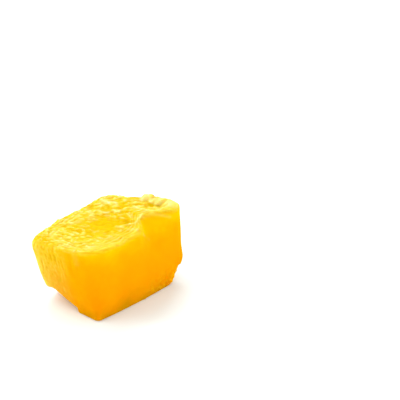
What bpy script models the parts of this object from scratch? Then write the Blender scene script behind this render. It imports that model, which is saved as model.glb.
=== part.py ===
"""A piece of ripe mango, cut by hand from a cheek of the fruit, about 44 x 25 x 28 mm.

The chunk is what its cuts leave of the flesh. Every cut is a function that says, for any point,
how far that point lies outside the cut. The largest of those distances is zero on the surface.
A grid made from a cube is carried out from a small core to that surface, and then gets the relief
of the torn fibres. The sizes are millimetres, measured from the foot of the front left corner:
X runs along the piece, Y away from its front, Z up. The mesh is made in metres, and is moved so
that the middle of its box stands over the origin.
"""

import bmesh
import bpy
import numpy as np
from mathutils import Vector, noise

MM = 0.001
FOOT_TO_MIDDLE = (14.45, 9.69)  # from the front left foot to the middle of the box

# The grid: segments along X, Y and Z, and how much closer together they lie towards the edges.
SEGMENTS = (43, 25, 27)
EDGE_CROWDING = 0.5

# The core, a box well inside the flesh, and the corners that its own corners are sent towards.
CORE_MIDDLE = (14.0, 9.0, 12.5)
CORE_HALF = (10.0, 5.5, 7.5)
GUIDE = {
    (-1, -1, -1): (-0.5, -1.2, 0.0),
    (1, -1, -1): (30.8, -1.0, 0.0),
    (-1, 1, -1): (2.0, 21.8, 0.0),
    (1, 1, -1): (19.5, 21.8, 0.0),
    (-1, -1, 1): (-3.6, -2.6, 24.2),
    (1, -1, 1): (35.2, -1.6, 25.6),
    (-1, 1, 1): (-8.0, 21.4, 24.0),
    (1, 1, 1): (24.5, 21.8, 25.4),
}
FARTHEST = 25.0  # how far from the core the search for the surface goes
HALVINGS = 40

# Front: a knife cut, nearly upright, crowned in the middle and leaning out a little at the top.
FRONT_AT_FOOT = -1.45
FRONT_LEAN = 0.062
FRONT_CROWN_AT = 13.0
FRONT_CROWN_RADIUS = 220.0

# Scoop: the right half of the front leans back, more and more so towards the rim.
SCOOP_AT = 22.0
SCOOP_SPREAD_LEFT = 3.6
SCOOP_SPREAD_RIGHT = 6.2
SCOOP_DEPTH = 5.8
SCOOP_FROM = 9.0
SCOOP_FULL_AT = 26.0

# Left end: torn along the fibres, so that it leans out towards the top and more so at the back.
LEFT_AT_FOOT = -0.55
LEFT_SKEW = 0.05
LEFT_LEAN = 0.125
LEFT_LEAN_PER_Y = 0.0092
LEFT_BELLY = 0.5
LEFT_BELLY_AT = 11.0
LEFT_BELLY_SPREAD = 6.0

# Back: a plain knife cut.
BACK_AT = 22.2
BACK_CROWN_RADIUS = 260.0

# Right end: the rounded outer side of the cheek, with a belly low down and an undercut foot.
RIGHT_AT = 35.65
RIGHT_RADIUS = 20.5
RIGHT_LEAN = 0.095
RIGHT_BELLY = 0.7
RIGHT_BELLY_AT = 7.5
RIGHT_BELLY_SPREAD = 4.0
UNDERCUT_FOOT = 30.6
UNDERCUT_SLOPE = 42.0

# Top: rises to the right, with a torn step halfway, and its back left corner is well rounded.
TOP_AT = 24.7
TOP_RISE = 0.045
TOP_STEP = 0.9
TOP_STEP_FROM = 13.0
TOP_STEP_TO = 24.0
LEFT_CORNER = (-8.0, 19.0)
LEFT_CORNER_REACH = 8.0

# Foot: flat on the table, but under the torn part of the left end, which is broken away there.
BREAK_FROM_Y = 7.6
BREAK_AT = (-1.4, 7.6, 2.1)
BREAK_ALONG_X = -1.0
BREAK_ALONG_Y = 0.27

# How far each edge is rounded.
FRONT_EDGE_AT_FOOT = 1.4
FRONT_EDGE = 8.0
FRONT_EDGE_FULL_AT = 12.0
BACK_EDGE = 4.5
RIGHT_EDGE = 1.8
UNDERCUT_EDGE = 1.0
TOP_EDGE = 1.2
LEFT_CORNER_EDGE = 3.9
FOOT_EDGE = 0.6
BREAK_EDGE = 0.6

# Knobs and ridges that stand up from the top: the points they run through, height and half width.
TOP_KNOBS = {
    "far_knob": ([(31.2, 10.2), (31.6, 9.7)], 1.4, 1.6),
    "middle_knob": ([(32.1, 7.0), (33.0, 5.6)], 0.95, 1.7),
    "near_knob": ([(34.2, 1.9), (35.8, -1.0)], 1.1, 2.5),
}
TOP_RIDGES = {
    "near_rim": ([(22.0, 4.0), (26.0, 2.2), (30.0, -0.2)], 0.3, 0.8),
    "fold": ([(17.0, 6.4), (19.0, 3.4)], 0.4, 0.8),
    "hollow": ([(28.2, 6.2), (30.4, 3.6)], -0.7, 1.2),
}

# Relief: how high each kind stands, how large its lumps are along X, Y and Z, and its seed.
TOP_LUMPS = (0.30, (3.0, 3.0, 3.0), 3.1)
TOP_BUMPS = (0.16, (1.5, 1.5, 1.5), 7.7)
LEFT_STREAKS = (0.16, (1.6, 1.6, 6.0), 11.3)
FOOT_CRUMBS = (0.45, (1.9, 1.9, 1.9), 17.9)
SOFT_WAVES = (0.22, (9.0, 9.0, 9.0), 23.3)
RELIEF_REACH = 0.8  # how far from its own cut the relief of a face fades out
CRUMBS_X = (12.0, 30.0)
CRUMBS_Z = (2.0, 9.0)
FLAT_FOOT_Z = (0.2, 1.5)

# A small nub at the foot of the back left corner.
NUB_AT = (-3.0, 18.8, 5.8)
NUB_HEIGHT = 1.1
NUB_RADIUS = 1.4


def smooth_step(value, low, high):
    """0 below low, 1 above high, and an even curve between them."""
    share = np.clip((value - low) / (high - low), 0.0, 1.0)
    return share * share * (3.0 - 2.0 * share)


def smooth_max(first, second, reach):
    """The larger distance, with the edge between the two cuts rounded over that reach."""
    shared = np.maximum(reach - np.abs(first - second), 0.0) / reach
    return np.maximum(first, second) + shared * shared * reach / 4.0


def bell(distance, half_width):
    """1 at no distance, fading evenly to 0 past the half width."""
    return np.exp(-((distance / half_width) ** 2))


def dome(distance, half_width):
    """1 near no distance, with a flatter crown and steeper sides than the bell's."""
    return bell(distance**2, half_width**2)


def far_from_line(x, y, points):
    """The distance in plan from a line through the points."""
    nearest = np.full(x.shape, np.inf)
    for (ax, ay), (bx, by) in zip(points, points[1:]):
        length2 = (bx - ax) ** 2 + (by - ay) ** 2
        along = np.clip(((x - ax) * (bx - ax) + (y - ay) * (by - ay)) / length2, 0.0, 1.0)
        nearest = np.minimum(nearest, np.hypot(x - ax - along * (bx - ax), y - ay - along * (by - ay)))
    return nearest


def scoop_depth(x, z):
    """How far the scoop bites into the front."""
    spread = np.where(x < SCOOP_AT, SCOOP_SPREAD_LEFT, SCOOP_SPREAD_RIGHT)
    growth = np.maximum(z - SCOOP_FROM, 0.0) / (SCOOP_FULL_AT - SCOOP_FROM)
    return SCOOP_DEPTH * bell(x - SCOOP_AT, spread) * growth**2


def outside_front(x, y, z):
    crown = (x - FRONT_CROWN_AT) ** 2 / (2.0 * FRONT_CROWN_RADIUS)
    return FRONT_AT_FOOT - FRONT_LEAN * z + crown + scoop_depth(x, z) - y


def outside_left(x, y, z):
    belly = LEFT_BELLY * bell(z - LEFT_BELLY_AT, LEFT_BELLY_SPREAD)
    return LEFT_AT_FOOT - LEFT_SKEW * y - (LEFT_LEAN + LEFT_LEAN_PER_Y * y) * z - belly - x


def outside_back(x, y, z):
    return y - BACK_AT + (x - FRONT_CROWN_AT) ** 2 / (2.0 * BACK_CROWN_RADIUS)


def outside_right(x, y, z):
    """The rounded side and the undercut below it, which follows the same curve in plan."""
    from_curve = x + np.maximum(y, 0.0) ** 2 / (2.0 * RIGHT_RADIUS)
    belly = RIGHT_BELLY * bell(z - RIGHT_BELLY_AT, RIGHT_BELLY_SPREAD)
    side = from_curve - RIGHT_AT + RIGHT_LEAN * (z - TOP_AT / 2.0) - belly
    slope = np.radians(UNDERCUT_SLOPE)
    undercut = np.cos(slope) * (from_curve - UNDERCUT_FOOT) - np.sin(slope) * z
    return smooth_max(side, undercut, UNDERCUT_EDGE)


def top_height(x, y):
    step = TOP_STEP * smooth_step(x, TOP_STEP_FROM, TOP_STEP_TO)
    height = TOP_AT + TOP_RISE * (x - FRONT_CROWN_AT) + step
    for points, rise, half_width in TOP_KNOBS.values():
        height = height + rise * dome(far_from_line(x, y, points), half_width)
    for points, rise, half_width in TOP_RIDGES.values():
        height = height + rise * bell(far_from_line(x, y, points), half_width)
    return height


def outside_bottom(x, y, z):
    """The flat foot, and the slope of what is broken away below the left end."""
    slope = BREAK_AT[2] + BREAK_ALONG_X * (x - BREAK_AT[0]) + BREAK_ALONG_Y * (y - BREAK_AT[1])
    broken = np.minimum(slope - z, y - BREAK_FROM_Y)
    return smooth_max(broken, -z, BREAK_EDGE)


def outside_sides(x, y, z):
    """How far a point lies outside the four upright cuts."""
    growth = smooth_step(z, 0.0, FRONT_EDGE_FULL_AT)
    front_edge = FRONT_EDGE_AT_FOOT + (FRONT_EDGE - FRONT_EDGE_AT_FOOT) * growth
    sides = smooth_max(outside_front(x, y, z), outside_left(x, y, z), front_edge)
    sides = smooth_max(sides, outside_back(x, y, z), BACK_EDGE)
    return smooth_max(sides, outside_right(x, y, z), RIGHT_EDGE)


def outside(points):
    """How far each point lies outside the chunk: below zero in the flesh, and zero on the surface."""
    x, y, z = points.T
    from_corner = np.hypot(x - LEFT_CORNER[0], y - LEFT_CORNER[1])
    top_edge = TOP_EDGE + (LEFT_CORNER_EDGE - TOP_EDGE) * bell(from_corner, LEFT_CORNER_REACH)
    chunk = smooth_max(outside_sides(x, y, z), z - top_height(x, y), top_edge)
    return smooth_max(chunk, outside_bottom(x, y, z), FOOT_EDGE)


def guided(cube):
    """Points of a cube from -1 to 1, carried into the guide's shape."""
    carried = np.zeros_like(cube)
    for signs, corner in GUIDE.items():
        weight = np.prod((1.0 + cube * signs) / 2.0, axis=1)
        carried += weight[:, None] * corner
    return carried


def on_surface(cube):
    """Each point of the cube, sent out from the core, past the guide or short of it, to the surface."""
    crowded = (1.0 - EDGE_CROWDING) * cube + EDGE_CROWDING * np.sin(cube * np.pi / 2.0)
    core = np.array(CORE_MIDDLE) + crowded * CORE_HALF
    guide = guided(crowded)
    way = guide - core
    way /= np.linalg.norm(way, axis=1)[:, None]
    # The grid's front half bends back with the scoop, so that the rim keeps to one of its rows.
    core[:, 1] += (1.0 - crowded[:, 1]) / 2.0 * scoop_depth(guide[:, 0], guide[:, 2])
    low = np.zeros(len(way))
    high = np.full(len(way), FARTHEST)
    for _ in range(HALVINGS):
        middle = (low + high) / 2.0
        inside = outside(core + way * middle[:, None]) < 0.0
        low = np.where(inside, middle, low)
        high = np.where(inside, high, middle)
    return core + way * low[:, None]


def outward(points, step=0.05):
    """The surface's outward direction at each point."""
    slopes = [outside(points + offset) - outside(points - offset) for offset in step * np.eye(3)]
    normals = np.stack(slopes, axis=1)
    return normals / np.linalg.norm(normals, axis=1)[:, None]


def rough(points, kind):
    """Smooth noise of one kind of relief: its height, the size of its lumps, and its seed."""
    height, size, seed = kind
    scaled = points / np.array(size) + seed
    return height * np.array([noise.noise(Vector(point)) for point in scaled])


def relief(points):
    """How far the torn and wet flesh stands out of, or sinks below, each clean cut."""
    x, y, z = points.T
    on_top = bell(z - top_height(x, y), RELIEF_REACH)
    on_left = bell(outside_left(x, y, z), RELIEF_REACH)
    low_right = smooth_step(x, *CRUMBS_X) * (1.0 - smooth_step(z, *CRUMBS_Z))
    off_floor = smooth_step(z, *FLAT_FOOT_Z)
    top = on_top * (rough(points, TOP_LUMPS) + rough(points, TOP_BUMPS))
    sides = on_left * rough(points, LEFT_STREAKS) + low_right * rough(points, FOOT_CRUMBS)
    nub = NUB_HEIGHT * bell(np.linalg.norm(points - np.array(NUB_AT), axis=1), NUB_RADIUS)
    return top + nub + off_floor * (sides + rough(points, SOFT_WAVES))


def chunk_points(cube):
    points = on_surface(cube)
    points = points + relief(points)[:, None] * outward(points)
    points[:, 2] = np.maximum(points[:, 2], 0.0)
    return points


def segmented_cube():
    """A cube from -1 to 1 in a bmesh, cut into the grid's segments."""
    mesh = bmesh.new()
    bmesh.ops.create_cube(mesh, size=2.0)
    for axis, segments in enumerate(SEGMENTS):
        along = [e for e in mesh.edges if abs(e.verts[0].co[axis] - e.verts[1].co[axis]) > 1e-4]
        bmesh.ops.subdivide_edges(mesh, edges=along, cuts=segments - 1, use_grid_fill=True)
    return mesh


def flesh():
    material = bpy.data.materials.new("mango_flesh")
    material.use_nodes = True
    shader = material.node_tree.nodes["Principled BSDF"]
    shader.inputs["Base Color"].default_value = (1.0, 0.48, 0.01, 1.0)
    shader.inputs["Roughness"].default_value = 0.3
    shader.inputs["Metallic"].default_value = 0.0
    return material


def mango_piece():
    grid = segmented_cube()
    points = chunk_points(np.array([v.co for v in grid.verts]))
    points[:, :2] -= FOOT_TO_MIDDLE
    for vertex, point in zip(grid.verts, points):
        vertex.co = Vector(point) * MM
    bmesh.ops.recalc_face_normals(grid, faces=grid.faces)
    mesh = bpy.data.meshes.new("mango_piece")
    grid.to_mesh(mesh)
    grid.free()
    mesh.shade_smooth()
    mesh.materials.append(flesh())
    return bpy.data.objects.new("mango_piece", mesh)


def main():
    for old in list(bpy.data.objects):
        bpy.data.objects.remove(old, do_unlink=True)
    collection = bpy.data.collections.new("mango piece")
    bpy.context.scene.collection.children.link(collection)
    collection.objects.link(mango_piece())


main()
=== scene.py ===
"""The looks of a chunk of ripe mango: its wet, torn and translucent flesh, on a pale floor.

The chunk is carried out to the same cuts as its CAD solid, on a much finer grid, and then gets the
fine relief of the torn top, the fibres of its left end and the crumbs of its foot. The forms are in
millimetres from the foot of the front left corner; the mesh is made in metres about the origin.
"""

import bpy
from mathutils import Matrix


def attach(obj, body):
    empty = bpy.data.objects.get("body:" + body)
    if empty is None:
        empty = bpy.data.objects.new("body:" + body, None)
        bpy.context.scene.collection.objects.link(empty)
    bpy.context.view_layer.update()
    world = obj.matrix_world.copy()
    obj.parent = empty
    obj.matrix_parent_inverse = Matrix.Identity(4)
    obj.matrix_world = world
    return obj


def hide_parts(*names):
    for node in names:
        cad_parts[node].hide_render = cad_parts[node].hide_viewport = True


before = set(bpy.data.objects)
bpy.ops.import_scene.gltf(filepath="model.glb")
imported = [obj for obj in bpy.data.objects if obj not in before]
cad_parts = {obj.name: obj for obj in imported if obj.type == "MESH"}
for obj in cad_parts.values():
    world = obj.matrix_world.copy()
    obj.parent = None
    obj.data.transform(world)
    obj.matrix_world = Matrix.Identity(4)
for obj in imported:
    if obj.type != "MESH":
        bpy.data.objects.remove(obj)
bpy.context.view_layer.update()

import math

import bmesh
import bpy
import numpy as np
from mathutils import Matrix, Vector, noise

MM = 0.001
FOOT_TO_MIDDLE = (14.45, 9.69)  # from the front left foot to the middle of the box

# The grid: segments along X, Y and Z, and how much closer together they lie towards the edges.
SEGMENTS = (186, 112, 92)
EDGE_CROWDING = 0.5

# The core, a box well inside the flesh, and the corners that its own corners are sent towards.
CORE_MIDDLE = (14.0, 9.0, 12.5)
CORE_HALF = (10.0, 5.5, 7.5)
GUIDE = {
    (-1, -1, -1): (-0.5, -1.2, 0.0),
    (1, -1, -1): (30.8, -1.0, 0.0),
    (-1, 1, -1): (2.0, 21.8, 0.0),
    (1, 1, -1): (19.5, 21.8, 0.0),
    (-1, -1, 1): (-3.6, -2.6, 24.2),
    (1, -1, 1): (35.2, -1.6, 25.6),
    (-1, 1, 1): (-8.0, 21.4, 24.0),
    (1, 1, 1): (24.5, 21.8, 25.4),
}
FARTHEST = 25.0  # how far from the core the search for the surface goes
HALVINGS = 24
SLOPE_STEP = 0.05  # how far to each side of a point the surface's slope is measured

# Front: a knife cut, nearly upright, crowned in the middle and leaning out a little at the top.
FRONT_AT_FOOT = -1.45
FRONT_LEAN = 0.062
FRONT_CROWN_AT = 13.0
FRONT_CROWN_RADIUS = 220.0

# Scoop: the right half of the front leans back, more and more so towards the rim.
SCOOP_AT = 22.0
SCOOP_SPREAD_LEFT = 3.6
SCOOP_SPREAD_RIGHT = 6.2
SCOOP_DEPTH = 5.8
SCOOP_FROM = 9.0
SCOOP_FULL_AT = 26.0

# Left end: torn along the fibres, so that it leans out towards the top and more so at the back.
LEFT_AT_FOOT = -0.55
LEFT_SKEW = 0.05
LEFT_LEAN = 0.125
LEFT_LEAN_PER_Y = 0.0092
LEFT_BELLY = 0.5
LEFT_BELLY_AT = 11.0
LEFT_BELLY_SPREAD = 6.0

# Back: a plain knife cut.
BACK_AT = 22.2
BACK_CROWN_RADIUS = 260.0

# Right end: the rounded outer side of the cheek, with a belly low down and an undercut foot.
RIGHT_AT = 35.65
RIGHT_RADIUS = 20.5
RIGHT_LEAN = 0.095
RIGHT_BELLY = 0.7
RIGHT_BELLY_AT = 7.5
RIGHT_BELLY_SPREAD = 4.0
UNDERCUT_FOOT = 30.6
UNDERCUT_SLOPE = 42.0

# Top: rises to the right, with a torn step halfway, and its back left corner is well rounded.
TOP_AT = 24.7
TOP_RISE = 0.045
TOP_STEP = 0.9
TOP_STEP_FROM = 13.0
TOP_STEP_TO = 24.0
LEFT_CORNER = (-8.0, 19.0)
LEFT_CORNER_REACH = 8.0

# Foot: flat on the table, but under the torn part of the left end, which is broken away there.
BREAK_FROM_Y = 7.6
BREAK_AT = (-1.4, 7.6, 2.1)
BREAK_ALONG_X = -1.0
BREAK_ALONG_Y = 0.27

# How far each edge is rounded.
FRONT_EDGE_AT_FOOT = 1.4
FRONT_EDGE = 8.0
FRONT_EDGE_FULL_AT = 12.0
BACK_EDGE = 4.5
RIGHT_EDGE = 1.8
UNDERCUT_EDGE = 1.0
TOP_EDGE = 1.2
LEFT_CORNER_EDGE = 3.9
FOOT_EDGE = 0.6
BREAK_EDGE = 0.6

# Knobs and ridges that stand up from the top: the points they run through, height and half width.
TOP_KNOBS = {
    "far_knob": ([(31.2, 10.2), (31.6, 9.7)], 1.4, 1.6),
    "middle_knob": ([(32.1, 7.0), (33.0, 5.6)], 0.95, 1.7),
    "near_knob": ([(34.2, 1.9), (35.8, -1.0)], 1.1, 2.5),
}
TOP_RIDGES = {
    "near_rim": ([(22.0, 4.0), (26.0, 2.2), (30.0, -0.2)], 0.3, 0.8),
    "fold": ([(17.0, 6.4), (19.0, 3.4)], 0.4, 0.8),
    "hollow": ([(28.2, 6.2), (30.4, 3.6)], -0.7, 1.2),
}

# Relief of the solid: how high each kind stands, how large its lumps are, and its seed.
TOP_LUMPS = (0.30, (3.0, 3.0, 3.0), 3.1)
TOP_BUMPS = (0.16, (1.5, 1.5, 1.5), 7.7)
LEFT_STREAKS = (0.16, (1.6, 1.6, 6.0), 11.3)
FOOT_CRUMBS = (0.45, (1.9, 1.9, 1.9), 17.9)
SOFT_WAVES = (0.22, (9.0, 9.0, 9.0), 23.3)
RELIEF_REACH = 0.8  # how far from its own cut the relief of a face fades out
CRUMBS_X = (12.0, 30.0)  # where the crumbs of the foot come in, from the left
CRUMBS_Z = (2.0, 9.0)  # and where they fade out, from the foot up
FLAT_FOOT_Z = (0.2, 1.5)  # from the flat foot up to where the relief of the sides is whole
POOL_CALM = (1.0, 0.4)  # how much of the top's relief is left, off the pool and on it

# A small nub at the foot of the back left corner.
NUB_AT = (-3.0, 18.8, 5.8)
NUB_HEIGHT = 1.1
NUB_RADIUS = 1.4

# Fine relief, which only this surface has. Its noise is given in the same way.
FIBRES_TURN = -45.7  # the way that the torn fibres of the top run, in degrees from X
CELL_HEIGHT = 0.26
BROAD_CELLS = (2.3, 1.35, 1.35)
THIN_CELLS = (2.0, 0.95, 0.95)
THIN_UP_TO = (3.0, 13.0)  # from the left, where the thin cells give way to the broad ones
CELL_WHOLE = 0.24  # the distance from a cell's heart, in cells, up to which it is whole,
CELL_ENDS = 0.50  # where it ends,
CELL_SUNK = 0.80  # and where the gap between the cells is deepest, and its painted shade darkest
CELL_BENDS = (0.9, (1.3, 1.3, 1.3), 71.9)  # how far the cells are pulled out of shape
BENDS_WAY = (1.0, -1.0, 0.0)  # and which way, along and across the fibres
CELL_THICKETS = (0.7, (6.0, 6.0, 6.0), 31.7)  # where the cells stand close or thin out
CELL_SHARE = 0.9  # how whole they are between the two
DIP_SHADE_DEPTHS = (-0.01, 0.04)  # from a fibre of the top to the dip between two, as its depth, for the dip's painted shade
CELL_RIM = (2.8, 5.8)  # how far in from the front rim the lips give way to cells
RIM_GAP_SHADE = (0.4, 1.0)  # how dark the painted gold shade in the gaps between the cells is, at that rim and past it
TOP_FIBRES = (0.10, (2.4, 0.65, 0.65), 53.9)
FINE_STREAKS = (0.24, (1.0, 0.55, 4.2), 41.9)
FINE_DENTS = (0.16, (1.0, 0.6, 1.0), 45.1)
FINE_CRUMBS = (0.22, (0.8, 0.8, 0.8), 43.3)
MOTTLES = (1.0, (1.3, 1.3, 1.3), 29.3)  # the lighter patches among the crumbs
MOTTLE_EDGES = (0.05, 0.40)  # from where the noise starts to lighten them to their middles
LIP_WAVES = (1.3, (3.6, 3.6, 3.6), 47.2)
LIP_BENDS = (0.9, (4.5, 4.5, 4.5), 67.7)
LEFT_RAGS = (1.2, (2.0, 2.0, 3.5), 59.1)
LEFT_FADE = (0.0, 2.6)  # how far in from the left cut its fibres thin out
LEFT_TORN_Y = (6.2, 10.6)  # from the smooth front part of the left end to its torn rest
LEFT_RELIEF = (0.3, 1.0)  # how much of the fibres' height stands on the two
FIBRES_FROM_FOOT = (1.0, 22.0)  # how far from the foot of the front corner they come in,
FIBRES_PER_Y = 0.5  # where a millimetre back counts for this many up
FIBRE_CONTRAST = (0.02, 0.12)  # from a faint fibre to a full one, as its height, for the painted highlight and shade

# The teeth along the right half of the foot.
TEETH = (0.65, (1.3, 1.3, 1.5), 61.3)
TEETH_PATCHES = (1.2, (4.0, 4.0, 4.0), 83.7)  # where the teeth are long and where they are short
TEETH_LENGTH = 0.6  # their share of the full length between the two
TEETH_X = (11.0, 19.0)
TEETH_RISE = 3.0  # how much further right they start for each millimetre up
TEETH_OFF_FLOOR = 0.3

# Thin lips that follow the rim of the top: how far in from it, their height and half width.
LIPS = (
    (0.5, 0.11, 0.28),
    (1.5, 0.18, 0.26),
    (2.6, 0.19, 0.26),
    (3.8, 0.17, 0.26),
    (5.0, 0.10, 0.26),
)
LIP_FRONT = (4.0, 8.0)  # how far in from the front cut they are unbroken, and where that ends
LIP_STANDING = (0.5, 0.75)  # the share of their height that stands, elsewhere and at the front
LIP_BREAKS = (1.0, 0.6)  # how much LIP_WAVES breaks them up, elsewhere and at the front

# The smooth pool in the middle of the top, where the juice stands.
POOL_AT = (13.0, 8.0)
POOL_HALF = (5.6, 3.6)
POOL_TURN = -50.0
GOLD_HALF = (11.0, 8.0)  # round the pool, where the flesh is more golden

LEFT_BACK_GLOW_REACH = 5.0  # how far the painted glow of the thin edge between the left end and the back reaches

# Folds, torn threads, blobs and pale patches on the top, as TOP_RIDGES.
TOP_FOLDS = {
    "branch": (
        [(14.5, 4.2), (15.4, 3.9), (17.7, 2.4), (18.8, 2.0), (20.6, 2.9), (22.9, 3.6)],
        0.34,
        0.36,
    ),
    "flap": (
        [(24.2, 8.4), (24.8, 6.7), (25.5, 4.7), (26.1, 2.7), (27.4, 1.9), (30.8, 1.5)],
        0.34,
        0.34,
    ),
    "flap_tail": ([(20.5, 11.0), (22.6, 9.9), (24.2, 8.4)], 0.14, 0.34),
    "branch_blob": ([(13.6, 5.2), (14.3, 3.0)], 0.34, 0.45),
    "tip_blob": ([(15.4, 0.2), (15.9, -1.1)], 0.24, 0.5),
    "left_blob": ([(19.1, 12.7), (19.7, 10.9)], 0.30, 0.5),
    "middle_blob": ([(17.7, 7.7), (17.8, 6.4)], 0.28, 0.4),
    "back_blob": ([(20.8, 18.4), (22.2, 15.2)], 0.30, 0.8),
    "far_left_blob": ([(16.4, 15.4), (17.5, 13.2)], 0.24, 0.45),
    "inner_blob": ([(16.2, 12.7), (16.8, 11.6)], 0.20, 0.4),
    "flap_blob": ([(25.6, 11.0), (26.2, 10.4)], 0.32, 0.5),
    "far_patch": ([(14.4, 18.0), (12.0, 14.2)], 0.15, 0.9),
    "left_patch": ([(6.0, 17.6), (8.2, 16.0)], 0.15, 0.8),
}

# The blobs of pale, watery pulp on the knobs, their paleness partly painted highlight: the points
# each runs through and its half width.
KNOB_BLOBS = (
    ([(29.8, 10.6), (30.9, 9.2)], 0.95),
    ([(30.5, 7.6), (31.0, 6.0), (31.7, 4.8)], 0.90),
    ([(31.9, 1.6), (33.0, 0.0)], 1.3),
)
BLOB_RAGS = (0.35, (1.2, 1.2, 1.2), 91.3)
BLOB_ENDS = (0.5, 1.4)  # in half widths, from where a blob is whole to where it ends
BLOB_HEIGHT = 0.12

# Golden flesh beside the knobs, round the flap and in the back left corner, as round the pool:
# partly the flesh's tone and partly painted shade in the hollows. The points that each patch runs
# through and its half width.
GOLD_AND_SHADED_HOLLOWS = (
    ([(26.8, 9.8), (28.0, 7.8)], 1.2),
    ([(28.9, 6.9), (30.0, 4.3)], 1.0),
    ([(22.2, 11.2), (26.2, 12.6)], 1.7),
    ([(20.4, 8.6), (21.9, 5.4)], 1.6),
    ([(-6.4, 15.2), (-5.0, 17.6)], 2.0),
)

# Creases that run down from the rim, into the scoop and at the front left corner: the points in
# space that they run through, height and half width.
CREASES = (
    ([(16.2, -1.1, 25.0), (18.2, -1.5, 23.1), (20.4, -0.8, 21.2)], 0.26, 0.40),
    ([(20.4, -0.8, 21.2), (21.8, -0.4, 19.4)], 0.08, 0.35),
    ([(-4.2, 4.8, 23.4), (-4.0, 3.9, 21.7), (-3.7, 3.8, 19.6)], 0.045, 0.80),
    ([(25.0, 2.4, 26.2), (27.1, 0.3, 25.5), (29.8, -1.3, 24.4)], 0.12, 0.40),
)

# How pale the torn flesh looks, partly its own pale pulp and partly painted highlight on its
# crests:
# whole cells, each millimetre of a ridge's or a crease's height, and whole blobs. Where it is
# golden, the cells and ridges are less pale.
CELLS_PALE_AND_HIGHLIT = 0.75
RIDGES_PALE_AND_HIGHLIT = 2.6
CREASES_PALE_AND_HIGHLIT = 1.5
BLOBS_PALE_AND_HIGHLIT = 0.7
PALE_AND_HIGHLIT_IN_GOLD = (1.0, 0.45)

# The places that the material tells apart.
SHOWN_PLACES = (
    "top", "thin", "golden_and_hollow_shade", "pale", "sunk_shade", "between",
    "fibrous", "highlit_fibre", "shaded_fibre_dip", "left_back_glow", "mottled",
)

# Colours: up the front and up the left end as shares of the height, and those of the torn flesh.
# The rise from dark orange at the foot to yellow at the top is partly the flesh's own tone and
# partly painted light and shade: lighter towards the top, and darkest at the foot as painted
# contact shade.
FRONT_COLOURS = (
    (0.0, (0.66, 0.262, 0.0005)),
    (0.10, (0.80, 0.285, 0.0005)),
    (0.24, (0.88, 0.313, 0.0005)),
    (0.45, (0.94, 0.335, 0.0005)),
    (0.75, (0.95, 0.375, 0.0005)),
    (0.90, (0.95, 0.435, 0.0005)),
    (1.0, (0.95, 0.53, 0.001)),
)
LEFT_COLOURS = (
    (0.0, (0.65, 0.27, 0.010)),
    (0.15, (0.75, 0.30, 0.010)),
    (0.5, (0.82, 0.375, 0.010)),
    (0.95, (0.82, 0.505, 0.010)),
)
MOTTLED = (0.93, 0.47, 0.003, 1.0)
FIBRE_HIGHLIGHT = (0.81, 0.58, 0.08, 1.0)
FIBRE_DIP_SHADE = (0.69, 0.355, 0.0005, 1.0)
EDGE_GLOW = (0.86, 0.70, 0.10, 1.0)
GOLD_SHADE = (0.64, 0.385, 0.002, 1.0)
TOP_YELLOW = (0.69, 0.545, 0.025, 1.0)
GOLD_AND_HOLLOW_SHADE = (0.755, 0.45, 0.001, 1.0)
PALE_PULP_AND_HIGHLIGHT = (0.765, 0.695, 0.145, 1.0)

# What covers the colours of the cut flesh, the left end and the torn top, from the lowest layer
# up: the place, how much it covers, and its colour.
CUT_LAYERS = (("mottled", 0.5, MOTTLED),)
LEFT_LAYERS = (
    ("left_back_glow", 0.7, EDGE_GLOW),
    ("highlit_fibre", 0.45, FIBRE_HIGHLIGHT),
    ("shaded_fibre_dip", 0.7, FIBRE_DIP_SHADE),
)
TOP_LAYERS = (
    ("golden_and_hollow_shade", 1.0, GOLD_AND_HOLLOW_SHADE),
    ("between", 0.6, GOLD_SHADE),
    ("sunk_shade", 1.0, GOLD_SHADE),
)

# Patches in the looks: the size of their lumps in millimetres, which range of the noise counts,
# and what it turns into.
CLOUDS = (6.0, 6.0, 6.0)
CLOUD_RISE = 10.0  # how far the clouds shift the colours up or down, from end to end
THIN_RISE = 0.30  # how much higher up, as a share of the height, the thin flesh takes its colour and painted light
WET_PATCHES = (2.2, 2.2, 2.2)
WET_NOISE = (0.3, 0.6)
WET_SHARE = (0.4, 1.0)
DULL_PATCHES = (1.6, 1.6, 1.6)
DULL_NOISE = (0.3, 0.7)
ROUGHNESS = (0.34, 0.50)

# The bump on the torn flesh: pores on the top and threads on the left end.
PORES = (0.5, 0.5, 0.5)
THREADS = (0.3, 0.3, 2.2)
BUMP_HEIGHT = 0.1
BUMP_STRENGTH = 0.08

# The photograph's viewpoint: a long lens that looks down at the front left corner. The place is in
# millimetres from the origin, and the angles are in degrees.
VIEW_PLACE = (-253.36, -286.0, 226.06)
VIEW_AZIMUTH = -45.7
VIEW_ELEVATION = 27.0
VIEW_ANGLE = 16.0

# The floor and the studio, in metres and watts: each soft light's place, size and power.
FLOOR_RADIUS = 4.0
FLOOR_SEGMENTS = 96
FLOOR_COLOUR = (0.89, 0.99, 1.0, 1.0)
SURROUND_COLOUR = (1.0, 1.0, 1.0, 1.0)
SURROUND_STRENGTH = 0.76
SOFTBOXES = {
    "key": ((-0.33, 0.50, 0.75), (0.8, 0.8), 4.8),
    "rear_strip": ((0.414, 0.404, 0.689), (0.5, 0.12), 2.4),
    "left_fill": ((-0.9, -0.4, 0.5), (0.8, 0.8), 1.8),
    "front_fill": ((0.0, -1.0, 0.5), (0.8, 0.8), 2.7),
}


def smooth_step(value, low, high):
    """0 below low, 1 above high, and an even curve between them."""
    share = np.clip((value - low) / (high - low), 0.0, 1.0)
    return share * share * (3.0 - 2.0 * share)


def blended(ends, share):
    """The first end where the share is 0, the second where it is 1, and evenly between."""
    return ends[0] + (ends[1] - ends[0]) * share


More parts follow.
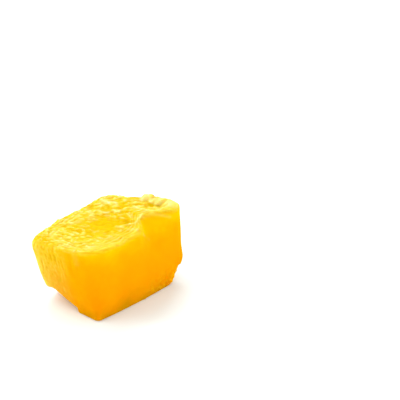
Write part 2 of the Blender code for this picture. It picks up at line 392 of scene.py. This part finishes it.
def smooth_max(first, second, reach):
    """The larger distance, with the edge between the two cuts rounded over that reach."""
    shared = np.maximum(reach - np.abs(first - second), 0.0) / reach
    return np.maximum(first, second) + shared * shared * reach / 4.0


def bell(distance, half_width):
    """1 at no distance, fading evenly to 0 past the half width."""
    return np.exp(-((distance / half_width) ** 2))


def dome(distance, half_width):
    """1 near no distance, with a flatter crown and steeper sides than the bell's."""
    return bell(distance**2, half_width**2)


def far_from_line(x, y, points):
    """The distance in plan from a line through the points."""
    nearest = np.full(x.shape, np.inf)
    for (ax, ay), (bx, by) in zip(points, points[1:]):
        length2 = (bx - ax) ** 2 + (by - ay) ** 2
        along = np.clip(((x - ax) * (bx - ax) + (y - ay) * (by - ay)) / length2, 0.0, 1.0)
        distance = np.hypot(x - ax - along * (bx - ax), y - ay - along * (by - ay))
        nearest = np.minimum(nearest, distance)
    return nearest


def scoop_depth(x, z):
    """How far the scoop bites into the front."""
    spread = np.where(x < SCOOP_AT, SCOOP_SPREAD_LEFT, SCOOP_SPREAD_RIGHT)
    growth = np.maximum(z - SCOOP_FROM, 0.0) / (SCOOP_FULL_AT - SCOOP_FROM)
    return SCOOP_DEPTH * bell(x - SCOOP_AT, spread) * growth**2


def outside_front(x, y, z):
    """How far a point lies outside the front cut. The next functions say it of the other cuts."""
    crown = (x - FRONT_CROWN_AT) ** 2 / (2.0 * FRONT_CROWN_RADIUS)
    return FRONT_AT_FOOT - FRONT_LEAN * z + crown + scoop_depth(x, z) - y


def outside_left(x, y, z):
    belly = LEFT_BELLY * bell(z - LEFT_BELLY_AT, LEFT_BELLY_SPREAD)
    return LEFT_AT_FOOT - LEFT_SKEW * y - (LEFT_LEAN + LEFT_LEAN_PER_Y * y) * z - belly - x


def outside_back(x, y, z):
    return y - BACK_AT + (x - FRONT_CROWN_AT) ** 2 / (2.0 * BACK_CROWN_RADIUS)


def outside_right(x, y, z):
    """The rounded side and the undercut below it, which follows the same curve in plan."""
    from_curve = x + np.maximum(y, 0.0) ** 2 / (2.0 * RIGHT_RADIUS)
    belly = RIGHT_BELLY * bell(z - RIGHT_BELLY_AT, RIGHT_BELLY_SPREAD)
    side = from_curve - RIGHT_AT + RIGHT_LEAN * (z - TOP_AT / 2.0) - belly
    slope = np.radians(UNDERCUT_SLOPE)
    undercut = np.cos(slope) * (from_curve - UNDERCUT_FOOT) - np.sin(slope) * z
    return smooth_max(side, undercut, UNDERCUT_EDGE)


def top_height(x, y):
    """The height of the top at a place in plan, with its step, knobs and ridges."""
    step = TOP_STEP * smooth_step(x, TOP_STEP_FROM, TOP_STEP_TO)
    height = TOP_AT + TOP_RISE * (x - FRONT_CROWN_AT) + step
    for points, rise, half_width in TOP_KNOBS.values():
        height = height + rise * dome(far_from_line(x, y, points), half_width)
    for points, rise, half_width in TOP_RIDGES.values():
        height = height + rise * bell(far_from_line(x, y, points), half_width)
    return height


def outside_bottom(x, y, z):
    """The flat foot, and the slope of what is broken away below the left end."""
    slope = BREAK_AT[2] + BREAK_ALONG_X * (x - BREAK_AT[0]) + BREAK_ALONG_Y * (y - BREAK_AT[1])
    broken = np.minimum(slope - z, y - BREAK_FROM_Y)
    return smooth_max(broken, -z, BREAK_EDGE)


def outside_sides(x, y, z):
    """How far a point lies outside the four upright cuts."""
    growth = smooth_step(z, 0.0, FRONT_EDGE_FULL_AT)
    front_edge = FRONT_EDGE_AT_FOOT + (FRONT_EDGE - FRONT_EDGE_AT_FOOT) * growth
    sides = smooth_max(outside_front(x, y, z), outside_left(x, y, z), front_edge)
    sides = smooth_max(sides, outside_back(x, y, z), BACK_EDGE)
    return smooth_max(sides, outside_right(x, y, z), RIGHT_EDGE)


def outside(points):
    """How far each point lies outside the chunk: below zero in the flesh, zero on the surface."""
    x, y, z = points.T
    from_corner = np.hypot(x - LEFT_CORNER[0], y - LEFT_CORNER[1])
    top_edge = TOP_EDGE + (LEFT_CORNER_EDGE - TOP_EDGE) * bell(from_corner, LEFT_CORNER_REACH)
    chunk = smooth_max(outside_sides(x, y, z), z - top_height(x, y), top_edge)
    return smooth_max(chunk, outside_bottom(x, y, z), FOOT_EDGE)


def guided(cube):
    """Points of a cube from -1 to 1, carried into the guide's shape."""
    carried = np.zeros_like(cube)
    for signs, corner in GUIDE.items():
        weight = np.prod((1.0 + cube * signs) / 2.0, axis=1)
        carried += weight[:, None] * corner
    return carried


def on_surface(cube):
    """Each point of the cube, sent from the core towards the guide until it meets the surface."""
    crowded = (1.0 - EDGE_CROWDING) * cube + EDGE_CROWDING * np.sin(cube * np.pi / 2.0)
    core = np.array(CORE_MIDDLE) + crowded * CORE_HALF
    guide = guided(crowded)
    way = guide - core
    way /= np.linalg.norm(way, axis=1)[:, None]
    # The grid's front half bends back with the scoop, so that the rim keeps to one of its rows.
    core[:, 1] += (1.0 - crowded[:, 1]) / 2.0 * scoop_depth(guide[:, 0], guide[:, 2])
    low = np.zeros(len(way))
    high = np.full(len(way), FARTHEST)
    for _ in range(HALVINGS):
        middle = (low + high) / 2.0
        inside = outside(core + way * middle[:, None]) < 0.0
        low = np.where(inside, middle, low)
        high = np.where(inside, high, middle)
    return core + way * low[:, None]


def outward(points):
    """The surface's outward direction at each point."""
    offsets = SLOPE_STEP * np.eye(3)
    slopes = [outside(points + offset) - outside(points - offset) for offset in offsets]
    normals = np.stack(slopes, axis=1)
    return normals / np.linalg.norm(normals, axis=1)[:, None]


def rough(points, kind):
    """Smooth noise of one kind of relief: its height, the size of its lumps, and its seed."""
    height, size, seed = kind
    scaled = points / np.array(size) + seed
    return height * np.array([noise.noise(Vector(point)) for point in scaled])


def turned(points):
    """The points with their first axis along the fibres of the top."""
    turn = np.radians(FIBRES_TURN)
    along = points[:, 0] * np.cos(turn) + points[:, 1] * np.sin(turn)
    across = points[:, 1] * np.cos(turn) - points[:, 0] * np.sin(turn)
    return np.stack([along, across, points[:, 2]], axis=1)


def from_pool(x, y, half_widths):
    """The distance from the pool's middle as a share of an oval's half widths."""
    turn = np.radians(POOL_TURN)
    along = (x - POOL_AT[0]) * np.cos(turn) + (y - POOL_AT[1]) * np.sin(turn)
    across = (y - POOL_AT[1]) * np.cos(turn) - (x - POOL_AT[0]) * np.sin(turn)
    return np.hypot(along / half_widths[0], across / half_widths[1])


def far_from_path(points, path):
    """The distance in space from a line through the points of the path."""
    nearest = np.full(len(points), np.inf)
    for start, end in zip(np.array(path), np.array(path[1:])):
        way = end - start
        along = np.clip((points - start) @ way / np.sum(way**2), 0.0, 1.0)
        distance = np.linalg.norm(points - start - along[:, None] * way, axis=1)
        nearest = np.minimum(nearest, distance)
    return nearest


def places(points):
    """Shares, from 0 to 1, of the kinds of surface that each point belongs to."""
    x, y, z = points.T
    shaded_hollows = [bell(far_from_line(x, y, line), half_width) for line, half_width in GOLD_AND_SHADED_HOLLOWS]
    rags = rough(points, LEFT_RAGS)
    left_depth = rags - outside_left(x, y, z)
    fibrous = (1.0 - smooth_step(left_depth, *LEFT_FADE)) * smooth_step(y + rags, *LEFT_TORN_Y)
    teeth = smooth_step(x - TEETH_RISE * z, *TEETH_X) * smooth_step(z, 0.0, TEETH_OFF_FLOOR)
    teeth *= np.clip(TEETH_LENGTH + rough(points, TEETH_PATCHES), 0.0, 1.0)
    return {
        "top": bell(z - top_height(x, y), RELIEF_REACH),
        "left": bell(outside_left(x, y, z), RELIEF_REACH),
        "fibrous": fibrous,
        "crumbs": smooth_step(x, *CRUMBS_X) * (1.0 - smooth_step(z, *CRUMBS_Z)),
        "teeth": teeth * bell(outside_sides(x, y, z), RELIEF_REACH),
        "off_floor": smooth_step(z, *FLAT_FOOT_Z),
        "thin": scoop_depth(x, z) / SCOOP_DEPTH,
        "pool": dome(from_pool(x, y, POOL_HALF), 1.0),
        # Golden round the pool, and painted shade in the hollows beside the knobs and the flap.
        "golden_and_hollow_shade": np.max([dome(from_pool(x, y, GOLD_HALF), 1.0), *shaded_hollows], axis=0),
        # A painted glow along the thin edge where the left end meets the back, as if lit through.
        "left_back_glow": bell(outside_back(x, y, z), LEFT_BACK_GLOW_REACH) * fibrous**2,
    }


def solid_relief(points, place):
    """How far the torn and wet flesh stands out of, or sinks below, each clean cut."""
    calm = blended(POOL_CALM, place["pool"])
    top = place["top"] * calm * (rough(points, TOP_LUMPS) + rough(points, TOP_BUMPS))
    sides = place["left"] * rough(points, LEFT_STREAKS)
    sides += place["crumbs"] * rough(points, FOOT_CRUMBS)
    nub = NUB_HEIGHT * bell(np.linalg.norm(points - np.array(NUB_AT), axis=1), NUB_RADIUS)
    return top + nub + place["off_floor"] * (sides + rough(points, SOFT_WAVES))


def left_fibres(points):
    """The height of the left end's fibres, which lean as its cut does."""
    x, y, z = points.T
    from_foot = smooth_step(z + FIBRES_PER_Y * y, *FIBRES_FROM_FOOT)
    leaning = np.stack([outside_left(x, y, z), y, z], axis=1)
    return from_foot * (rough(leaning, FINE_STREAKS) + rough(leaning, FINE_DENTS))


def from_hearts(points, size):
    """How far each point lies from the heart of its cell of pulp, in cells of that size."""
    bent = turned(points) + rough(points, CELL_BENDS)[:, None] * BENDS_WAY
    return np.array([noise.voronoi(Vector(point))[0][0] for point in bent / size])


def cells(points, hearts):
    """How whole a cell of torn pulp each point lies on."""
    thicket = CELL_SHARE + rough(points, CELL_THICKETS)
    whole = 1.0 - smooth_step(hearts, CELL_WHOLE, CELL_ENDS)
    return np.clip(whole * thicket, 0.0, 1.0)


def lips(points):
    """Thin ridges that run along the rim of the top, longest along its front."""
    inward = rough(points, LIP_BENDS) - outside_sides(*points.T)
    unbroken = 1.0 - smooth_step(-outside_front(*points.T), *LIP_FRONT)
    waves = blended(LIP_BREAKS, unbroken) * rough(points, LIP_WAVES)
    standing = np.maximum(blended(LIP_STANDING, unbroken) + waves, 0.0)
    return sum(rise * bell(inward - at, half_width) for at, rise, half_width in LIPS) * standing


def folds(points):
    """The height of the folds, threads and blobs that are set in plan."""
    x, y, _ = points.T
    lines = TOP_FOLDS.values()
    return sum(rise * bell(far_from_line(x, y, line), half) for line, rise, half in lines)


def knob_blobs(points):
    """How whole a blob of watery pulp each point lies on."""
    x, y, _ = points.T
    distances = [far_from_line(x, y, line) / half_width for line, half_width in KNOB_BLOBS]
    from_blob = rough(points, BLOB_RAGS) + np.min(distances, axis=0)
    return 1.0 - smooth_step(from_blob, *BLOB_ENDS)


def creases(points):
    """The height of the creases that are set in space."""
    return sum(rise * bell(far_from_path(points, path), half) for path, rise, half in CREASES)


def fine_relief(points, place):
    """How far the cells, lips, fibres and crumbs stand out. Adds the places that come of them."""
    x, y, z = points.T
    ridges = lips(points) + folds(points)
    creased = creases(points)
    broad = smooth_step(x, *THIN_UP_TO)
    hearts = broad * from_hearts(points, BROAD_CELLS)
    hearts += (1.0 - broad) * from_hearts(points, THIN_CELLS)
    celled = smooth_step(-outside_front(x, y, z), *CELL_RIM)
    standing = celled * (1.0 - place["pool"]) * cells(points, hearts)
    blobs = knob_blobs(points)
    strands = rough(turned(points), TOP_FIBRES)
    top = CELL_HEIGHT * standing + ridges + BLOB_HEIGHT * blobs + strands
    fibres = left_fibres(points)
    sides = place["left"] * blended(LEFT_RELIEF, place["fibrous"]) * fibres
    sides += place["crumbs"] * rough(points, FINE_CRUMBS)
    # The torn flesh's paleness: partly pale pulp, partly painted highlight on cells, lips, folds
    # and blobs.
    torn = blended(PALE_AND_HIGHLIT_IN_GOLD, place["golden_and_hollow_shade"]) * (CELLS_PALE_AND_HIGHLIT * standing + RIDGES_PALE_AND_HIGHLIT * ridges)
    torn += BLOBS_PALE_AND_HIGHLIT * blobs
    # The gaps between the cells and the dips between the fibres get painted gold shade.
    gap_shade = blended(RIM_GAP_SHADE, celled) * smooth_step(hearts, CELL_ENDS, CELL_SUNK)
    place["pale"] = np.clip(place["top"] * torn + CREASES_PALE_AND_HIGHLIT * creased, 0.0, 1.0)
    place["sunk_shade"] = place["top"] * gap_shade
    place["between"] = smooth_step(-strands, *DIP_SHADE_DEPTHS)
    # Raised fibres of the left end get a painted highlight, and the dips between them painted
    # shade.
    place["highlit_fibre"] = place["fibrous"] * smooth_step(fibres, *FIBRE_CONTRAST)
    place["shaded_fibre_dip"] = place["fibrous"] * smooth_step(-fibres, *FIBRE_CONTRAST)
    place["mottled"] = place["crumbs"] * smooth_step(rough(points, MOTTLES), *MOTTLE_EDGES)
    teeth = place["teeth"] * rough(points, TEETH)
    return place["top"] * top + place["off_floor"] * sides + teeth + creased


def segmented_cube():
    """A cube from -1 to 1 in a bmesh, cut into the grid's segments."""
    mesh = bmesh.new()
    bmesh.ops.create_cube(mesh, size=2.0)
    for axis, segments in enumerate(SEGMENTS):
        along = [e for e in mesh.edges if e.verts[0].co[axis] * e.verts[1].co[axis] < 0.0]
        bmesh.ops.subdivide_edges(mesh, edges=along, cuts=segments - 1, use_grid_fill=True)
    return mesh


def mango_flesh_mesh():
    """The chunk's skin with all its relief, and the places on it that its colours need."""
    grid = segmented_cube()
    points = on_surface(np.array([v.co for v in grid.verts]))
    place = places(points)
    height = solid_relief(points, place) + fine_relief(points, place)
    points = points + height[:, None] * outward(points)
    points[:, 2] = np.maximum(points[:, 2], 0.0)
    points[:, :2] -= FOOT_TO_MIDDLE
    for vertex, point in zip(grid.verts, points):
        vertex.co = Vector(point) * MM
    bmesh.ops.recalc_face_normals(grid, faces=grid.faces)
    mesh = bpy.data.meshes.new("mango_flesh")
    grid.to_mesh(mesh)
    grid.free()
    mesh.shade_smooth()
    for name in SHOWN_PLACES:
        shares = mesh.attributes.new(name, "FLOAT", "POINT")
        shares.data.foreach_set("value", np.clip(place[name], 0.0, 1.0).astype(np.float32))
    return mesh


def add(tree, kind, inputs=None, **settings):
    """A node with its settings, and each named input either linked or given its value."""
    node = tree.nodes.new(kind)
    for name, value in settings.items():
        setattr(node, name, value)
    for name, value in (inputs or {}).items():
        if isinstance(value, bpy.types.NodeSocket):
            tree.links.new(value, node.inputs[name])
        else:
            node.inputs[name].default_value = value
    return node


def maths(tree, operation, first, second):
    return add(tree, "ShaderNodeMath", {0: first, 1: second}, operation=operation).outputs[0]


def mixed(tree, share, first, second):
    """The first colour, and the second where the share is 1."""
    colours = {0: share, 6: first, 7: second}
    return add(tree, "ShaderNodeMix", colours, data_type="RGBA").outputs[2]


def attribute(tree, name):
    return add(tree, "ShaderNodeAttribute", attribute_name=name).outputs["Fac"]


def layered(tree, colour, layers):
    """The colour with each layer's colour over it, as far as that layer's place covers it."""
    for name, cover, over in layers:
        share = maths(tree, "MULTIPLY", attribute(tree, name), cover)
        colour = mixed(tree, share, colour, over)
    return colour


def grain(tree, position, sizes):
    """Noise about 0.5, with lumps of those sizes in millimetres."""
    scale = tuple(1.0 / (size * MM) for size in sizes)
    scaled = add(tree, "ShaderNodeVectorMath", {0: position, 1: scale}, operation="MULTIPLY")
    lumps = {"Vector": scaled.outputs[0], "Scale": 1.0}
    return add(tree, "ShaderNodeTexNoise", lumps).outputs["Fac"]


def ranged(tree, value, from_ends, to_ends):
    """The value carried on an even curve from one pair of ends to the other."""
    inputs = {
        "Value": value,
        "From Min": from_ends[0],
        "From Max": from_ends[1],
        "To Min": to_ends[0],
        "To Max": to_ends[1],
    }
    node = add(tree, "ShaderNodeMapRange", inputs, interpolation_type="SMOOTHSTEP")
    return node.outputs["Result"]


def ramp(tree, value, stops):
    """The colour between the stops at that value."""
    node = add(tree, "ShaderNodeValToRGB", {"Fac": value})
    elements = node.color_ramp.elements
    while len(elements) < len(stops):
        elements.new(1.0)
    for element, (at, colour) in zip(elements, stops):
        element.position = at
        element.color = (*colour, 1.0)
    return node.outputs["Color"]


def flesh_colour(tree, position):
    """Orange low, yellow higher up, pale on torn threads: partly painted light, shade and
    highlight.
    """
    height = add(tree, "ShaderNodeSeparateXYZ", {0: position}).outputs["Z"]
    cloud = maths(tree, "SUBTRACT", grain(tree, position, CLOUDS), 0.5)
    height = maths(tree, "ADD", height, maths(tree, "MULTIPLY", cloud, CLOUD_RISE * MM))
    share = maths(tree, "DIVIDE", height, TOP_AT * MM)
    thin = maths(tree, "MULTIPLY", attribute(tree, "thin"), THIN_RISE)
    share = maths(tree, "ADD", share, thin)
    cut = layered(tree, ramp(tree, share, FRONT_COLOURS), CUT_LAYERS)
    left = layered(tree, ramp(tree, share, LEFT_COLOURS), LEFT_LAYERS)
    body = mixed(tree, attribute(tree, "fibrous"), cut, left)
    top = layered(tree, TOP_YELLOW, TOP_LAYERS)
    flesh = mixed(tree, attribute(tree, "top"), body, top)
    # Pale torn flesh, partly painted highlight.
    return mixed(tree, attribute(tree, "pale"), flesh, PALE_PULP_AND_HIGHLIGHT)


def flesh_material():
    """Wet flesh that lets light through: pale threads are the wettest, and the dull parts vary."""
    material = bpy.data.materials.new("ripe_mango_flesh")
    material.use_nodes = True
    tree = material.node_tree
    shader = tree.nodes["Principled BSDF"]
    position = add(tree, "ShaderNodeTexCoord").outputs["Object"]
    tree.links.new(flesh_colour(tree, position), shader.inputs["Base Color"])
    patches = ranged(tree, grain(tree, position, WET_PATCHES), WET_NOISE, WET_SHARE)
    wet = maths(tree, "MULTIPLY", attribute(tree, "pale"), patches)
    tree.links.new(wet, shader.inputs["Coat Weight"])
    roughness = ranged(tree, grain(tree, position, DULL_PATCHES), DULL_NOISE, ROUGHNESS)
    tree.links.new(roughness, shader.inputs["Roughness"])
    pores = maths(tree, "MULTIPLY", grain(tree, position, PORES), attribute(tree, "top"))
    threads = maths(tree, "MULTIPLY", grain(tree, position, THREADS), attribute(tree, "fibrous"))
    bump = {
        "Height": maths(tree, "ADD", pores, threads),
        "Strength": BUMP_STRENGTH,
        "Distance": BUMP_HEIGHT * MM,
    }
    normal = add(tree, "ShaderNodeBump", bump).outputs["Normal"]
    tree.links.new(normal, shader.inputs["Normal"])
    tree.links.new(normal, shader.inputs["Coat Normal"])
    # Light gets a few millimetres into the flesh, red the furthest. The gloss is the wet coat's.
    shader.inputs["Subsurface Weight"].default_value = 1.0
    shader.inputs["Subsurface Radius"].default_value = (1.0, 0.45, 0.08)
    shader.inputs["Subsurface Scale"].default_value = 0.003
    shader.inputs["Specular IOR Level"].default_value = 0.003
    shader.inputs["Specular Tint"].default_value = (1.0, 0.75, 0.1, 1.0)
    shader.inputs["Coat Roughness"].default_value = 0.08
    shader.inputs["Coat IOR"].default_value = 1.8
    return material


def camera():
    """The camera at the photograph's viewpoint."""
    azimuth = math.radians(VIEW_AZIMUTH)
    elevation = math.radians(VIEW_ELEVATION)
    back = Vector((
        math.sin(azimuth) * math.cos(elevation),
        -math.cos(azimuth) * math.cos(elevation),
        math.sin(elevation),
    ))
    right = Vector((math.cos(azimuth), math.sin(azimuth), 0.0))
    turn = Matrix((right, back.cross(right), back)).transposed().to_4x4()
    data = bpy.data.cameras.new("view")
    data.sensor_width = 36.0
    data.lens = data.sensor_width / 2.0 / math.tan(math.radians(VIEW_ANGLE / 2.0))
    data.clip_start = 0.02
    data.clip_end = 10.0
    view = bpy.data.objects.new("view", data)
    view.matrix_world = Matrix.Translation(Vector(VIEW_PLACE) * MM) @ turn
    bpy.context.scene.collection.objects.link(view)
    bpy.context.scene.camera = view


def floor():
    """A plain, pale round floor, wide enough to fill the view."""
    mesh = bpy.data.meshes.new("floor")
    disc = bmesh.new()
    bmesh.ops.create_circle(disc, cap_ends=True, segments=FLOOR_SEGMENTS, radius=FLOOR_RADIUS)
    disc.to_mesh(mesh)
    disc.free()
    material = bpy.data.materials.new("pale_floor")
    material.use_nodes = True
    shader = material.node_tree.nodes["Principled BSDF"]
    shader.inputs["Base Color"].default_value = FLOOR_COLOUR
    shader.inputs["Roughness"].default_value = 0.7
    shader.inputs["Specular IOR Level"].default_value = 0.1
    mesh.materials.append(material)
    piece = bpy.data.objects.new("floor", mesh)
    bpy.context.scene.collection.objects.link(piece)


def softbox(name, place, size, power):
    """A soft light at that place, which faces the origin."""
    data = bpy.data.lights.new(name, "AREA")
    data.shape = "RECTANGLE"
    data.size, data.size_y = size
    data.energy = power
    light = bpy.data.objects.new(name, data)
    light.location = place
    light.rotation_euler = (-Vector(place)).to_track_quat("-Z", "Y").to_euler()
    bpy.context.scene.collection.objects.link(light)


def studio():
    """The even, white surround and the soft lights."""
    world = bpy.data.worlds.new("studio")
    world.use_nodes = True
    background = world.node_tree.nodes["Background"]
    background.inputs["Color"].default_value = SURROUND_COLOUR
    background.inputs["Strength"].default_value = SURROUND_STRENGTH
    bpy.context.scene.world = world
    for name, (place, size, power) in SOFTBOXES.items():
        softbox(name, place, size, power)


def main():
    """The flesh in its solid's stead, and what stands round it."""
    piece = bpy.data.objects.new("mango_flesh", mango_flesh_mesh())
    bpy.context.scene.collection.objects.link(piece)
    piece.data.materials.append(flesh_material())
    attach(piece, "root")
    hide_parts("mango_piece")
    floor()
    studio()
    camera()
    bpy.context.scene.view_settings.view_transform = "Standard"


main()
